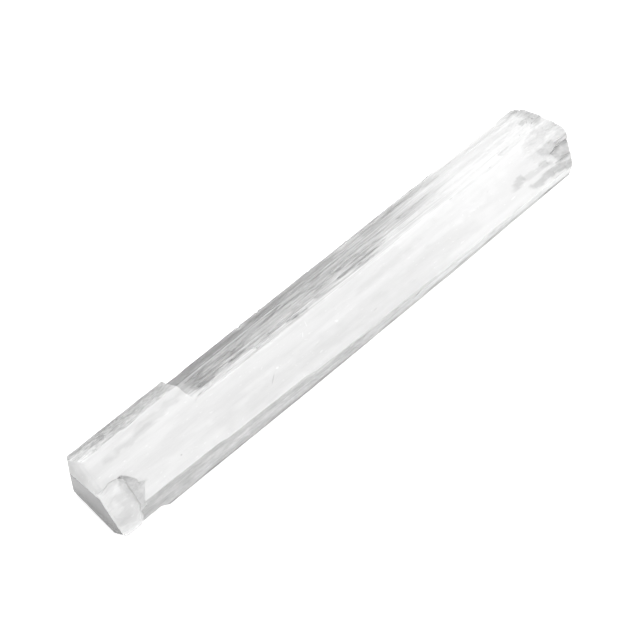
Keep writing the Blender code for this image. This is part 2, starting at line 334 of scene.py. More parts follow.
def lump_or_not(middle, looks):
    """Whether a face is surely part of the small crystal, and whether it may be."""
    out = middle - LUMP_CENTRE
    reach = Vector([o / half for o, half in zip(out, LUMP_HALF)]).length
    round_out = Vector([o / half**2 for o, half in zip(out, LUMP_HALF)]).normalized()
    sure = LUMP_SHELL[0] < reach < LUMP_SHELL[1] and round_out.dot(looks) > LUMP_TURN
    return sure, LUMP_SHELL[0] < reach < LUMP_BITS


def facet_of(face):
    """The name of the facet that a face is part of."""
    middle = face.calc_center_median()
    sure, maybe = lump_or_not(middle, face.normal)
    if sure:
        return "lump"
    best = "lump"
    least = LUMP_PULL if maybe else math.inf
    for name, point, looks in PLANES:
        looks = Vector(looks).normalized()
        agree = looks.dot(face.normal)
        miss = abs((middle - Vector(point)).dot(looks)) + TURN_COST * (1.0 - agree)
        if agree >= LEAST_TURN and miss < least:
            best, least = name, miss
    if middle.x > BROKEN_FROM and best in ("chamfer", "ledge", "pit"):
        return "broken"
    if middle.x > PIT_FROM and best in ("end", "corner", "low corner"):
        return "pit"
    return best


blade = bmesh.new()
blade.from_mesh(frame["nodes"][NODE].data)
bmesh.ops.scale(blade, vec=Vector((1, 1, 1)) / MM, verts=blade.verts)
bmesh.ops.remove_doubles(blade, verts=blade.verts, dist=MERGE_LOOSE)
blade.normal_update()
facet = blade.faces.layers.int.new("facet")
for face in blade.faces:
    face[facet] = KINDS.index(facet_of(face))
for kind in KINDS:
    own = [f.calc_area() for f in blade.faces if f[facet] == KINDS.index(kind)]
    print(f"{kind}: {len(own)} faces, {sum(own):.0f} mm2")

# %% [markdown]
# ## A mesh that can be worn
#
# Wear, grain and splinters are real shape, so the flat faces need vertices to move. The grain of
# the crystal runs along it, so it needs many vertices across and few along. Subdividing would
# follow the long thin triangles of the solid. Slicing the mesh with many parallel planes gives an
# even lattice instead and leaves every crisp edge where it is. A vertex close to a plane counts as
# on it, which saves thin slivers, and only vertices at one place are merged, so that the mesh stays
# closed.

# %% Lattice
# An axis, a stretch of it in mm, and the step of its slices: finer where the surface is finer.
SLICES = (
    (X, -75.0, 54.0, 1.2),
    (X, 54.0, 75.0, 0.55),
    (Y, -12.0, 1.0, 0.45),
    (Y, 1.0, 12.0, 0.30),
    (Z, 0.0, 5.6, 0.6),
    (Z, 5.6, 16.8, 0.35),
)
SNAP = 0.03
MERGE = 0.0001


def slice_up(bm, axis, start, end, step):
    """Cuts a mesh at every step of a stretch along one axis."""
    normal = Vector((0, 0, 0))
    normal[axis] = 1.0
    for number in range(1, int((end - start) / step) + 1):
        bmesh.ops.bisect_plane(
            bm,
            geom=[*bm.verts, *bm.edges, *bm.faces],
            dist=SNAP,
            plane_co=normal * (start + number * step),
            plane_no=normal,
        )


for stretch in SLICES:
    slice_up(blade, *stretch)
bmesh.ops.remove_doubles(blade, verts=blade.verts, dist=MERGE)
bmesh.ops.delete(blade, geom=[e for e in blade.edges if not e.link_faces], context="EDGES")
bmesh.ops.delete(blade, geom=[v for v in blade.verts if not v.link_faces], context="VERTS")
open_edges = [e for e in blade.edges if len(e.link_faces) != 2]
print("lattice:", len(blade.verts), "vertices,", len(blade.faces), "faces")
print("open edges:", len(open_edges))

# %% [markdown]
# ## A softer broken end
#
# Gypsum is so soft that a fingernail scratches it. The flakes at the broken end have lost their
# crisp rims and run into each other, and crumbs fill the notches between the splinters. Filling
# comes first: a vertex that lies in a notch is raised to the sloping facet above it, or pushed out
# to the rim in front of it. A few rounds of smoothing then melt the rims together. The tip keeps
# its one fresh, sharp facet.


# %% Broken end
def fade(value, low, high):
    """0 up to low, 1 from high on, and a soft step between them."""
    share = min(1.0, max(0.0, (value - low) / (high - low)))
    return share * share * (3.0 - 2.0 * share)


SOFT_FROM = 60.0
SOFT_FULL = 63.0
SOFT_ROUNDS = 3
SOFT_STEP = 0.5
END_SLOPES = ((74.2, -2.2, 13.8), (72.4, 6.2, 13.0))
# The fresh facet's stretch of each axis.
FRESH_FACET = ((66.0, 75.0), (-9.5, -4.0), (9.0, 15.0))
# How far in a vertex may lie and still be in a notch, below a lid or behind a rim.
UNDER_LID = (0.05, 2.2)
BEHIND_RIM = (0.05, 2.6)
INSIDE = 0.3
WELL_INSIDE = 0.5
LOOKS_UP = 0.25
HARDLY_DOWN = -0.2
RIM_LOOKS = -0.5

worn_end = [
    v
    for v in blade.verts
    if v.co.x > SOFT_FROM
    and not all(low < at < high for at, (low, high) in zip(v.co, FRESH_FACET))
]
lids = []
rims = []
sides = []
for name, point, looks in PLANES:
    plane = (Vector(point), Vector(looks).normalized())
    if name in ("brow", "inner", "outer") or point in END_SLOPES:
        lids.append(plane)
    elif name == "broken" and plane[1].z > RIM_LOOKS:
        rims.append(plane)
    elif name in ("side", "bottom", "keel"):
        sides.append(plane)


def depth_under(place, planes):
    """How far a place lies inside the nearest of some planes, and the way that plane looks."""
    return min(((point - place).dot(looks), looks.to_tuple()) for point, looks in planes)


blade.normal_update()
filled = 0
for vert in worn_end:
    below, _ = depth_under(vert.co, lids)
    behind, out = depth_under(vert.co, rims)
    beside, _ = depth_under(vert.co, sides)
    inner_wall = vert.normal.z > HARDLY_DOWN and min(behind, beside) > WELL_INSIDE
    looks_open = vert.normal.z > LOOKS_UP or inner_wall
    if looks_open and UNDER_LID[0] < below < UNDER_LID[1]:
        vert.co.z += below * fade(vert.co.x, SOFT_FROM, SOFT_FULL)
        filled += 1
    elif min(below, beside) > INSIDE and BEHIND_RIM[0] < behind < BEHIND_RIM[1]:
        vert.co += Vector(out) * behind
        filled += 1
for _ in range(SOFT_ROUNDS):
    bmesh.ops.smooth_vert(
        blade, verts=worn_end, factor=SOFT_STEP, use_axis_x=True, use_axis_y=True, use_axis_z=True
    )
print("softened", len(worn_end), "vertices and filled", filled)

# %% [markdown]
# ## The crest of the small crystal
#
# The small crystal in the corner bulges like an egg, and its crest leans over the top of the
# blade. A push that fades out round the crest gives the lean and takes the surface beside it
# along, so that nothing folds over.

# %% Crest
CREST = (-66.5, -2.6)
CREST_REACH = (6.5, 5.0)
CREST_HEIGHT = (8.0, 13.0)
CREST_PUSH = Vector((0.7, 1.3, 0.0))

leaned = 0
for vert in blade.verts:
    share = fade(vert.co.z, *CREST_HEIGHT)
    for at, about, reach in zip(vert.co, CREST, CREST_REACH):
        share *= 1.0 - fade(abs(at - about), 0.0, reach)
    vert.co += CREST_PUSH * share
    leaned += share > 0.0
print("leaned", leaned, "vertices")

# %% [markdown]
# ## Flakes and unevenness
#
# Gypsum splits along its length into thin flakes, each a little higher or lower than the next. A
# flake field copies that: rows run along the crystal, each row is parted into lengths, and each
# piece of a row gets a depth of its own from cell noise. Long flakes a hair deep make the lines of
# the split strip, and short deep ones make the broken end. Smooth noise, stretched along the
# crystal, adds the soft unevenness that a flat face has.

# %% Flakes
# For each facet, the depth, length and width of its flakes, then of its soft unevenness, in mm.
WEAR = {
    "top": (0.012, 24.0, 0.9, 0.02, 14.0, 3.0),
    "brow": (0.20, 5.0, 0.7, 0.15, 4.0, 1.5),
    "bottom": (0.03, 24.0, 1.2, 0.04, 12.0, 3.0),
    "chamfer": (0.16, 2.2, 0.45, 0.20, 2.0, 0.8),
    "side": (0.08, 14.0, 0.6, 0.08, 8.0, 1.5),
    "keel": (0.10, 16.0, 0.8, 0.08, 10.0, 2.0),
    "end": (0.0, 1.0, 1.0, 0.06, 4.0, 4.0),
    "bevel": (0.0, 1.0, 1.0, 0.03, 2.0, 2.0),
    "corner": (0.0, 1.0, 1.0, 0.10, 2.0, 2.0),
    "low corner": (0.0, 1.0, 1.0, 0.10, 2.0, 2.0),
    "broken": (0.14, 3.0, 0.6, 0.10, 2.5, 1.2),
    "inner": (0.20, 18.0, 0.60, 0.08, 6.0, 1.5),
    "outer": (0.24, 22.0, 0.6, 0.10, 8.0, 1.0),
    "pit": (0.10, 1.5, 0.8, 0.20, 1.5, 1.0),
    "ledge": (0.10, 1.0, 0.6, 0.10, 1.0, 1.0),
    "lump": (0.0, 1.0, 1.0, 0.22, 2.2, 2.2),
}
SWAY = 0.4
SWAY_WIDTH = 4
START_SEED = 7.5
SEED_STEP = 11.5
# The roughness, the shrinking and the number of the layers of noise.
SOFT_LAYERS = (0.8, 2.1, 3)
SOFT_RANGE = 1.3
# The brow's wear grows over this stretch, so that it meets the top without a step.
BROW_FROM = 60.0
BROW_RISE = 9.0


def flake(along, across, seed, length, width):
    """From 0 to 1, the same all over one flake of a facet."""
    sway = SWAY * noise.noise(Vector((along / (2 * length), across / SWAY_WIDTH, seed)))
    row = math.floor(across / width + sway) + 0.5
    start = length * noise.cell(Vector((row, seed, START_SEED)))
    column = math.floor((along + start) / length) + 0.5
    return 0.5 + 0.5 * noise.cell(Vector((column, row, seed)))


def uneven(place, seed, length, width):
    """Soft unevenness from about 0 to 1, stretched along the crystal."""
    spot = Vector((place.x / length, place.y / width, place.z / width + seed))
    return 0.5 + 0.5 * noise.fractal(spot, *SOFT_LAYERS) / SOFT_RANGE


def wear_at(place, kind, out):
    """How deep a facet is worn at one place."""
    flake_depth, flake_length, flake_width, soft_depth, soft_length, soft_width = WEAR[kind]
    across = place.y * out.z - place.z * out.y
    seed = SEED_STEP * KINDS.index(kind)
    deep = soft_depth * min(1.0, max(0.0, uneven(place, seed, soft_length, soft_width)))
    if flake_depth:
        deep += flake_depth * flake(place.x, across, seed, flake_length, flake_width)
    if kind == "brow":
        deep *= min(1.0, max(0.0, (place.x - BROW_FROM) / BROW_RISE))
    return deep


print("kinds of wear:", len(WEAR))

# %% [markdown]
# ## Wearing the facets down
#
# Each vertex moves inwards along its normal, by the mean wear of the facets that meet there, so
# that the crystal keeps its size. Sharp edges also lose small chips, where one more noise is high.
# All moves are worked out before any is made, because a moved vertex would turn the normals of
# those beside it.

# %% Wear
SHARP = math.radians(24)
CHIP_DEPTH = 0.14
CHIP_LENGTH = 2.6
CHIP_LAYERS = (0.6, 2.2, 3)

facet_out = {}
for kind in KINDS:
    own = [f for f in blade.faces if f[facet] == KINDS.index(kind)]
    total = sum((f.normal * f.calc_area() for f in own), Vector())
    facet_out[kind] = total.normalized()

blade.normal_update()
moves = []
for vert in blade.verts:
    kinds = {KINDS[f[facet]] for f in vert.link_faces}
    deep = sum(wear_at(vert.co, k, facet_out[k]) for k in kinds) / len(kinds)
    turn = max((e.calc_face_angle(0.0) for e in vert.link_edges), default=0.0)
    if turn > SHARP:
        chip = noise.fractal(Vector(vert.co) / CHIP_LENGTH, *CHIP_LAYERS)
        deep += CHIP_DEPTH * max(0.0, chip) * min(1.0, turn)
    moves.append((vert, vert.normal * -deep))
for vert, move in moves:
    vert.co += move
print("worn by up to", round(max(m.length for _, m in moves), 2), "mm")

# %% [markdown]
# ## Splinters
#
# The broken end ends in fibres of unlike length. Rows of flakes without parts along them stand for
# the fibres, and each draws back by its own share, the more the nearer it is to the end. The tip
# itself stays, because it sets the length. Last, every vertex is kept in the solid's box.

# %% Splinters
SPLINTER_START = 58.0
SPLINTER_END = 75.0
SPLINTER_PULL = 0.45
SPLINTER_LENGTH = 50.0
FIBRE_WIDTH = 1.1
FIBRE_SLANT = 0.4
FIBRE_SEED = 3.5
LAYER_WIDTH = 1.3
LAYER_SLANT = 0.3
LAYER_SEED = 5.5
TIP_AT = -2.2
TIP_HALF = 2.5

for vert in blade.verts:
    place = vert.co
    reach = (place.x - SPLINTER_START) / (SPLINTER_END - SPLINTER_START)
    if reach > 0.0:
        across = place.y + FIBRE_SLANT * place.z
        upwards = place.z + LAYER_SLANT * place.y
        row = flake(0.0, across, FIBRE_SEED, SPLINTER_LENGTH, FIBRE_WIDTH)
        layer = flake(0.0, upwards, LAYER_SEED, SPLINTER_LENGTH, LAYER_WIDTH)
        near_tip = min(1.0, abs(place.y - TIP_AT) / TIP_HALF)
        place.x -= SPLINTER_PULL * reach * reach * row * layer * near_tip
    for axis, (low, high) in enumerate(zip(*cad_box)):
        place[axis] = min(high / MM, max(low / MM, place[axis]))
print("splinters from", SPLINTER_START, "mm on")

# %% [markdown]
# ## Ragged patches
#
# Selenite is clear where it is whole and milky where tiny gaps between its fibres scatter light.
# Such places have ragged outlines. A patch here is a soft box with a change of milkiness in it, and
# vector noise pushes each point about before the box is asked, which tears the box's outline. One
# patch greys the pit beside the small crystal, and that is painted shade.

# %% Patches
# Clearer patches and whiter ones: the middle and the half size in mm, and the change of the veil.
PATCHES = (
    ((-59.0, 4.2, 15.3), (8.0, 0.9, 2.0), -0.11),
    ((-49.0, 5.1, 15.3), (6.5, 1.0, 2.0), -0.11),
    ((-38.4, 5.6, 13.8), (2.8, 3.2, 1.6), -0.05),
    ((-51.0, -10.6, 9.4), (2.6, 2.0, 1.6), 0.10),
    ((-24.0, -11.0, 10.0), (7.0, 2.0, 2.0), 0.07),
    ((-8.0, -11.5, 12.5), (6.0, 2.0, 2.0), -0.07),
    ((24.0, -11.8, 11.0), (8.0, 2.0, 2.0), 0.06),
    ((-10.0, -7.8, 15.3), (26.0, 1.8, 2.0), -0.04),
    ((30.0, -7.0, 15.3), (14.0, 2.2, 2.0), -0.04),
    ((8.0, -4.4, 15.3), (44.0, 0.7, 2.0), 0.05),
    ((13.0, -2.4, 15.3), (10.0, 0.8, 2.0), -0.05),
    ((29.0, 0.4, 15.3), (9.0, 1.6, 2.0), 0.05),
    ((-60.0, -11.4, 11.0), (4.0, 1.8, 2.0), 0.08),
    ((-45.0, -11.8, 11.6), (3.6, 1.8, 1.5), 0.12),
    ((54.6, -6.8, 15.3), (3.0, 1.1, 2.0), -0.24),
    ((60.5, -7.3, 15.3), (4.2, 0.9, 2.0), -0.15),
    ((67.2, -4.4, 14.8), (2.9, 1.6, 2.0), -0.18),
    ((70.3, -6.8, 13.8), (4.0, 1.9, 2.5), -0.25),
    ((61.0, -10.2, 15.0), (5.4, 1.0, 2.0), -0.25),
    ((68.3, -10.4, 14.0), (2.6, 1.3, 3.0), -0.26),
    ((71.0, 6.8, 12.5), (2.2, 4.4, 3.0), -0.16),
    ((68.6, 10.6, 11.6), (3.2, 1.3, 2.5), -0.16),
    ((67.9, 5.4, 13.4), (1.0, 0.8, 1.5), -0.22),
    ((72.0, 1.4, 13.6), (3.0, 1.2, 1.5), 0.06),
    ((52.0, 1.0, 15.0), (14.0, 4.0, 3.0), 0.03),
    ((-39.8, -12.0, 11.0), (4.0, 1.8, 1.8), 0.14),
    ((14.5, 9.8, 11.6), (3.4, 1.6, 2.0), 0.18),
    ((-20.9, 10.9, 11.0), (1.8, 1.0, 1.6), 0.35),
    # This patch greys the pit beside the small crystal: painted shade.
    ((-66.4, -5.0, 13.5), (1.8, 4.0, 4.0), -0.08),
    ((-72.4, -6.4, 15.6), (1.6, 1.5, 2.0), 0.10),
)
# Darker places: the middle and the half size in mm, and the change of the shade.
SHADES = (
    ((-57.0, 11.8, 11.0), (18.0, 1.2, 2.0), 0.10),
    ((-33.0, 11.9, 9.8), (12.0, 1.0, 1.2), 0.14),
    ((-6.0, 10.6, 10.9), (16.0, 0.9, 1.4), 0.10),
    ((71.6, 6.6, 12.0), (1.8, 4.6, 3.0), 0.13),
)
TEAR_SIZE = 2.4
TEAR_SHARE = 0.75
# A patch fades out between these shares of its half size.
PATCH_FADE = (0.7, 1.15)


def patch_at(place, patches):
    """The change that ragged patches make at one place."""
    stray = noise.noise_vector(place / TEAR_SIZE)
    total = 0.0
    for middle, half, change in patches:
        share = 1.0
        for at, about, size, off in zip(place, middle, half, stray):
            share *= 1.0 - fade(abs(at - about + TEAR_SHARE * size * off) / size, *PATCH_FADE)
            if not share:
                break
        total += change * share
    return total


print(len(PATCHES), "patches and", len(SHADES), "darker places")

# %% [markdown]
# ## How milky each facet is
#
# The white heart of this blade is full of veils, and the strip where the slab split off has few,
# so it looks grey. One number, the veil, says how milky a place is. It depends on the facet, so
# that it steps at an edge as the real crystal does, and on the place in the facet, so that it fades
# along the blade. On a few facets it also paints light and shade: the bevel is whiter, and the end
# facet, its corners and the foot of the small crystal are greyer. A table of fades is easier to
# read and to tune than a painted map.

# %% Veil
# For each facet, a veil and its changes: an axis, where the change starts and ends, and how much.
UPPER_VEIL = (0.88, ((X, -60.0, -5.0, -0.08), (X, 10.0, 50.0, 0.075), (Y, 5.5, 7.5, -0.06)))
FRONT_VEIL = (0.46, ((X, -14.0, 60.0, 0.26),))
BACK_VEIL = (0.40, ((X, -30.0, 60.0, 0.22),))
VEILS = {
    "top": UPPER_VEIL,
    "brow": UPPER_VEIL,
    "chamfer": (
        0.80,
        (
            (X, -71.0, -60.0, -0.21),
            (X, -52.0, -44.0, 0.08),
            (Y, 7.8, 9.4, -0.12),
            (Y, 10.2, 11.4, -0.10),
        ),
    ),
    "outer": (
        0.02,
        (
            (X, -40.0, 14.0, 0.38),
            (X, 22.0, 46.0, 0.44),
            (Y, 10.0, 10.8, 0.10),
            (X, -34.0, -20.0, -0.05),
        ),
    ),
    # The bevel's high veil is painted light, and it grows towards the bevel's top edge.
    "bevel": (0.77, ((Z, 14.0, 14.8, 0.07),)),
    # The small crystal greys towards its foot and its right side: painted shade.
    "lump": (0.42, ((Z, 6.0, 10.0, 0.36), (X, -70.0, -66.5, -0.03))),
    "bottom": (0.70, ()),
    # The end facet and its corners are greyer than the rest: painted shade.
    "end": (0.30, ()),
    "corner": (0.30, ()),
    "low corner": (0.10, ()),
    "broken": (0.84, ()),
    "ledge": (0.45, ()),
    "pit": (0.83, ()),
}
# The inner band of the split strip: across it at the near end, and at the white far end.
INNER_ACROSS = (0.97, ((Y, 1.3, 6.6, -0.42), (X, -42.0, -28.0, -0.09), (X, -28.0, -12.0, -0.05)))
INNER_MILKY = 0.11
INNER_MILKY_TO = (-32.0, -8.0)
INNER_MILKY_WIDE = (4.0, 6.0)
INNER_FAR = 0.88
INNER_FADE = (3.0, 56.0)
INNER_SLANT = 1.3
INNER_SLANT_FROM = 5.0
# The noise that tears its border: how far, its sizes along and across, and its seed.
INNER_TEAR = 1.3
INNER_TEAR_SIZE = (6.0, 4.0)
INNER_TEAR_SEED = 2.5


def graded(place, start, changes):
    """A number that changes along the axes."""
    return start + sum(much * fade(place[axis], low, high) for axis, low, high, much in changes)


def mix(low, high, share):
    return low + (high - low) * share


def inner_veil(place):
    """The veil of the inner band, whose border with the white top is torn by noise."""
    along, across = INNER_TEAR_SIZE
    spot = Vector((place.x / along, place.y / across, INNER_TEAR_SEED))
    torn = Vector((place.x, place.y + INNER_TEAR * noise.noise(spot), place.z))
    near = graded(torn, *INNER_ACROSS)
    milky = (1 - fade(torn.x, *INNER_MILKY_TO)) * (1 - fade(torn.y, *INNER_MILKY_WIDE))
    slant = INNER_SLANT * max(0.0, INNER_SLANT_FROM - torn.y)
    return mix(near + INNER_MILKY * milky, INNER_FAR, fade(torn.x + slant, *INNER_FADE))


def veil_at(place, kind):
    """How milky the crystal is at one place of a facet, from 0, clear, to 1, white, and on some
    facets painted light and shade.
    """
    if kind == "inner":
        return inner_veil(place)
    if kind in ("side", "keel"):
        return graded(place, *(BACK_VEIL if place.y > 0.0 else FRONT_VEIL))
    return graded(place, *VEILS[kind])


print("veil tables:", len(VEILS))

# %% [markdown]
# ## How dark each place is
#
# Some places lie in shade: the end facet and its corners, which look away from the light and grow
# darker towards the bottom, the low corner in the shadow of the small crystal, the underside and
# the seam where the front turns under. The clear shader does some of it, and a second number, the
# shade, adds the rest as painted shade in the colour. The shade also darkens the rim of the broken
# end, the back edges of the chamfer and the bevel, the bevel's lower edge and the outer edge of the
# split strip, and it deepens the grey of the strip's clear stone. It works like the veil.

# %% Shade
# The shade of each facet. The end facet and its corners look away from the key light, the end facet
# grows darker towards the bottom, the low corner lies in the shadow of the small crystal, and the
# keel is the darker underside: all painted shade. The chamfer and the bevel darken towards their
# back edges, the bevel also towards its lower edge, and on the split strip the shade deepens the
# grey of its clear stone.
SHADE_TABLE = {
    "end": (0.96, ((Z, 2.0, 9.0, -0.13), (Z, 8.0, 12.0, -0.02))),
    "corner": (0.86, ()),
    "low corner": (0.90, ()),
    "keel": (0.08, ()),
    "outer": (0.26, ((X, 0.0, 40.0, -0.19), (X, -36.0, -6.0, -0.07))),
    "inner": (0.09, ((X, 10.0, 45.0, -0.07), (X, -36.0, -6.0, -0.02))),
    "chamfer": (0.0, ((Y, 10.9, 11.6, 0.20),)),
    "bevel": (0.16, ((Z, 12.8, 13.8, -0.16), (Y, 9.6, 11.0, 0.20))),
}
NO_SHADE = (0.0, ())
# The dark line along the outer edge of the split strip: how dark, its start across, and its end.
EDGE_SHADE = 0.11
EDGE_FROM = (9.3, 9.8)
EDGE_TO = (-10.0, 20.0)
# The seam of the front is painted shade where the front turns under: its height in mm and its rise
# per mm along, its soft borders below and above, its sway, and how dark it is and how much that
# varies, both with the length of their noise.
SEAM_HEIGHT = 7.7
SEAM_RISE = 0.03
SEAM_BELOW = (-1.6, -0.4)
SEAM_ABOVE = (0.3, 1.5)
SEAM_SWAY = 0.5
SEAM_SWAY_LENGTH = 7.0
SEAM_SWAY_SEED = (4.5, 0.5)
SEAM_SHADE = (0.62, 0.40)
SEAM_SHADE_LENGTH = 4.0
SEAM_SHADE_SEED = (8.5, 1.5)
# The rim of the broken end: how dark it is, and how far in it fades.
RIM_SHADE = 0.13
RIM_FADE = (0.4, 1.9)
RIM_FROM = 60.0
RIM_ABOVE = 5.0
RIM_UPRIGHT = 0.2
RIM = [
    (Vector(point), Vector(looks).normalized())
    for name, point, looks in PLANES
    if name == "broken" and looks[Z] < RIM_UPRIGHT
]


def seam_shade_at(place):
    """How much painted shade the seam of the front gets at one place."""
    sway = noise.noise(Vector((place.x / SEAM_SWAY_LENGTH, *SEAM_SWAY_SEED)))
    vary = noise.noise(Vector((place.x / SEAM_SHADE_LENGTH, *SEAM_SHADE_SEED)))
    above = place.z - SEAM_HEIGHT - SEAM_RISE * place.x - SEAM_SWAY * sway
    dark = SEAM_SHADE[0] + SEAM_SHADE[1] * vary
    return dark * fade(above, *SEAM_BELOW) * (1 - fade(above, *SEAM_ABOVE))


def shade_at(place, kind):
    """How much one place of a facet is darkened, from 0 to 1: painted shade, and the grey of the
    split strip's clear stone.
    """
    shade = graded(place, *SHADE_TABLE.get(kind, NO_SHADE))
    if kind in ("side", "keel") and place.y < 0.0:
        shade += seam_shade_at(place)
    if kind == "outer":
        shade += EDGE_SHADE * fade(place.y, *EDGE_FROM) * (1 - fade(place.x, *EDGE_TO))
    if kind != "side" and place.x > RIM_FROM and place.z > RIM_ABOVE:
        inside = -max((place - point).dot(looks) for point, looks in RIM)
        shade += RIM_SHADE * (1 - fade(inside, *RIM_FADE))
    return shade


print("planes of the broken rim:", len(RIM))

# %% [markdown]
# ## Two numbers at each corner of each face
#
# A number on a vertex is shared by all facets that meet there, and would smear over the edge. Each
# face's own corners carry the veil and the shade instead. The patches don't ask for the facet, so
# they are worked out once for each vertex.

# %% Corners
bmesh.ops.triangulate(blade, faces=blade.faces)
blade.verts.index_update()
for name, rule, patches in (("veil", veil_at, PATCHES), ("shade", shade_at, SHADES)):
    layer = blade.loops.layers.float.new(name)
    extra = [patch_at(vert.co, patches) for vert in blade.verts]
    for face in blade.faces:
        kind = KINDS[face[facet]]
        for loop in face.loops:
            total = rule(loop.vert.co, kind) + extra[loop.vert.index]
            loop[layer] = min(1.0, max(0.0, total))
print("veil and shade set on", 3 * len(blade.faces), "corners")

# %% [markdown]
# ## The finished mesh
#
# Facets are flat up to their crisp edges, so shading is smooth inside a facet and breaks where the
# mesh turns sharply. Two more named numbers go with each face: how strongly it is lined along the
# grain, and how frosty it is. The lines die out towards the far end, which is frosty all over.

# %% Crystal mesh
TURN_SHARP = math.radians(18)
LINED = {
    "inner": 1.0,
    "outer": 1.0,
    "side": 0.35,
    "keel": 0.4,
    "chamfer": 0.4,
    "brow": 0.2,
    "broken": 0.15,
    "top": 0.05,
}
LINED_FAR = 0.06
LINED_FADE = (16.0, 52.0)
FROSTY = {
    "chamfer": 0.9,
    "broken": 0.6,
    "pit": 0.35,
    "ledge": 0.6,
    "lump": 0.10,
    "side": 0.4,
    "keel": 0.3,
}
FROSTY_FAR = 0.34
FROSTY_FADE = (55.0, 68.0)

bmesh.ops.scale(blade, vec=(MM, MM, MM), verts=blade.verts)
mesh = bpy.data.meshes.new("crystal")
blade.to_mesh(mesh)
blade.free()
facets = [0] * len(mesh.polygons)
mesh.attributes["facet"].data.foreach_get("value", facets)
lined_faces = []
frosty_faces = []
for number, polygon in zip(facets, mesh.polygons):
    kind = KINDS[number]
    along = polygon.center.x / MM
    lined_faces.append(LINED.get(kind, 0.0) * mix(1.0, LINED_FAR, fade(along, *LINED_FADE)))
    frosty_faces.append(max(FROSTY.get(kind, 0.0), FROSTY_FAR * fade(along, *FROSTY_FADE)))
for name, values in (("lined", lined_faces), ("frosty", frosty_faces)):
    mesh.attributes.new(name, "FLOAT", "FACE").data.foreach_set("value", values)
mesh.shade_smooth()
mesh.set_sharp_from_angle(angle=TURN_SHARP)
crystal = bpy.data.objects.new("crystal", mesh)
bpy.context.scene.collection.objects.link(crystal)
print("crystal:", len(mesh.vertices), "vertices,", len(mesh.polygons), "triangles")

# %% [markdown]
# ## Patterns in the stone
#
# All patterns of the finish are noise on Object coordinates, counted in mm. Stretching the noise
# along the crystal turns spots into streaks. The same helper makes hair lines, clouds, mottle and
# flecks, only with other sizes. Small marks, such as nicks, scratches and bright dots, are soft
# ellipsoids, because each has a place of its own. Two dark marks paint shade into the crease round
# the top of the small crystal.

# %% Patterns
# Small marks: the middle and half size in mm, and the turn in degrees.
LIGHT_MARKS = (
    ((63.0, -1.0, 15.2), (0.8, 0.20, 1.0), 8),
    ((62.2, -2.0, 15.2), (0.6, 0.20, 1.0), -12),
    ((61.5, 0.6, 15.2), (0.5, 0.20, 1.0), 15),
    ((50.5, -9.0, 15.3), (1.0, 0.25, 1.0), 4),
    ((-22.1, -4.6, 15.3), (0.55, 0.35, 1.0), 0),
    ((-12.1, -2.2, 15.3), (1.0, 0.16, 1.0), 50),
    ((-9.7, -0.6, 15.3), (1.1, 0.14, 1.0), 70),
    ((-3.7, -4.9, 15.3), (0.5, 0.4, 1.0), 0),
    ((-11.6, -8.3, 15.3), (0.7, 0.22, 1.0), 5),
    ((40.9, -5.0, 15.3), (1.0, 0.14, 1.0), -25),
    ((-39.0, 7.6, 13.3), (1.6, 0.20, 1.2), 18),
    ((-22.0, 8.65, 12.8), (18.0, 0.24, 0.4), 0),
    ((-37.0, 7.0, 13.4), (0.9, 0.20, 1.2), -30),
    ((-21.1, 10.9, 10.8), (0.7, 1.3, 2.0), -20),
    ((-14.8, 10.9, 10.8), (0.35, 1.0, 1.6), 0),
    ((1.8, 10.9, 10.7), (0.35, 1.0, 1.6), 0),
)
DARK_MARKS = (
    ((61.6, -6.8, 15.3), (0.30, 0.22, 1.0), 0),
    ((63.7, -7.4, 15.1), (0.22, 0.5, 1.0), 10),
    ((64.5, 3.0, 14.8), (0.5, 0.22, 1.0), 30),
    ((70.5, 4.6, 13.6), (0.35, 0.25, 1.0), 0),
    ((-24.7, -6.1, 15.3), (1.9, 0.20, 1.0), 38),
    ((-52.6, -6.3, 15.3), (0.35, 0.25, 1.0), 0),
    ((5.2, -8.7, 15.3), (0.9, 0.18, 1.0), 4),
    ((39.0, 1.1, 15.3), (0.9, 0.22, 1.0), 0),
    ((52.3, 1.1, 15.3), (0.7, 0.20, 1.0), 0),
    # These two are painted shade in the crease round the top of the small crystal.
    ((-71.1, -1.2, 15.2), (2.2, 0.26, 1.2), 20),
    ((-68.3, -0.8, 15.3), (1.9, 0.24, 1.2), -12),
    ((-58.0, -9.6, 15.3), (5.0, 0.22, 0.5), -2),
    ((-47.5, -9.9, 15.3), (3.6, 0.22, 0.5), -2),
    ((6.0, -11.8, 15.3), (12.0, 0.25, 0.6), 1),
    ((-20.0, 9.4, 12.1), (21.0, 0.26, 0.4), 0),
    ((-27.0, 7.9, 13.4), (15.0, 0.22, 0.4), 0),
    ((22.0, 8.5, 12.8), (7.0, 0.5, 0.8), 0),
    ((-37.0, 7.8, 13.1), (6.0, 0.45, 0.7), -1),
)
# A mark is whole up to the second share of its half size and gone at the first.
MARK_FADE = (1.0, 0.4)

selenite, nodes = material("selenite")
coordinates = nodes.add("ShaderNodeTexCoord", {}, {}, "Object")
place = nodes.add("ShaderNodeVectorMath", {"operation": "SCALE"}, {0: coordinates, "Scale": 1 / MM})


def named(name):
    """A number that the mesh carries."""
    return nodes.add("ShaderNodeAttribute", {"attribute_name": name}, {}, "Fac")


def streaks(length, width, seed, detail=3.0):
    """Noise in mm that is stretched along the crystal."""
    spot = nodes.add(
        "ShaderNodeMapping",
        {},
        {
            "Vector": place,
            "Location": (seed, 0.7 * seed, 0.3 * seed),
            "Scale": (1 / length, 1 / width, 1 / width),
        },
    )
    return nodes.add("ShaderNodeTexNoise", {}, {"Vector": spot, "Scale": 1.0, "Detail": detail})


